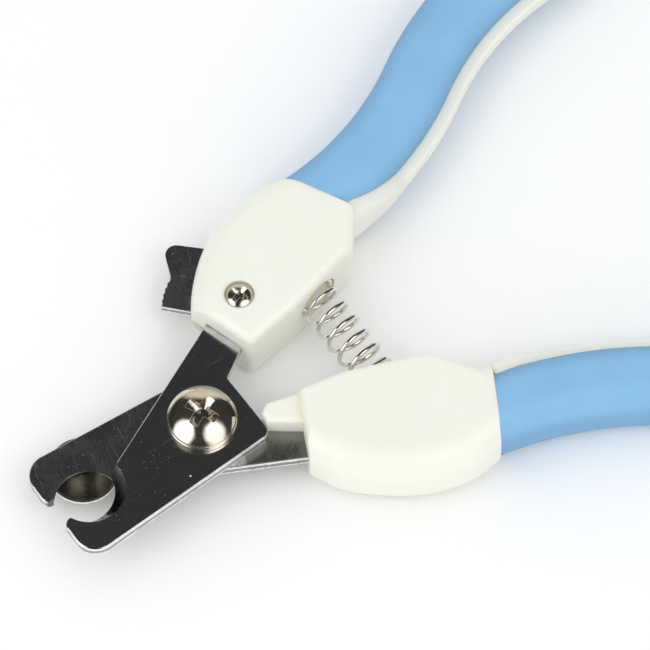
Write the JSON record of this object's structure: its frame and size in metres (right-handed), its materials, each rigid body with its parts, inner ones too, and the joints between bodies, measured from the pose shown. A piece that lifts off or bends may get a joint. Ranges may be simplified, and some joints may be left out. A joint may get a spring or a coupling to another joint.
{
  "type": "pet nail trimmer",
  "caption": "Plier-type pet nail trimmer with hook blades on a screw pivot, soft-grip handles, a coil return spring, a lock lever and a swing-aside nail stop.",
  "frame": {"origin": "on the pivot axis, level with the underside of the pivot nut", "axes": "+Z along the pivot towards the screw head; +X along the bisector of the open handles, towards the handle ends, so the jaws point along -X"},
  "size_m": [0.1208, 0.0863, 0.0115],
  "materials": {
    "blade_steel": "polished stainless steel with fine brushing",
    "dark_steel": "darker polished steel",
    "ivory_plastic": "ivory hard plastic, satin",
    "blue_grip": "light blue soft elastomer, matt",
    "nickel": "bright nickel plate",
    "spring_wire": "bright nickel-plated spring wire"
  },
  "bodies": {
    "lower_half": {"lower_blade": "blade_steel", "lower_handle_core": "ivory_plastic", "lower_grip": "blue_grip", "pivot_screw": "nickel", "pivot_washer": "nickel", "pivot_spring_washer": "nickel", "pivot_nut": "nickel", "return_spring": "spring_wire"},
    "upper_half": {"upper_blade": "blade_steel", "upper_handle_core": "ivory_plastic", "upper_grip": "blue_grip", "lock_screw": "nickel", "lock_washer": "nickel"},
    "lever": {"lock_lever": "dark_steel"},
    "guard": {"guard_plate": "dark_steel"}
  },
  "joints": [
    {"name": "blade_pivot", "type": "hinge", "parent": "lower_half", "child": "upper_half", "pos_m": [0, 0, 0.00575], "axis": [0, 0, -1], "range_deg": [0, 26], "deforming": ["return_spring"]},
    {"name": "lock_swing", "type": "hinge", "parent": "upper_half", "child": "lever", "pos_m": [0.0149, 0.0124, 0.0047], "axis": [0, 0, 1], "range_deg": [0, 62]},
    {"name": "guard_swing", "type": "hinge", "parent": "lower_half", "child": "guard", "pos_m": [0, 0, 0.0033], "axis": [0, 0, 1], "range_deg": [-80, 18]}
  ]
}
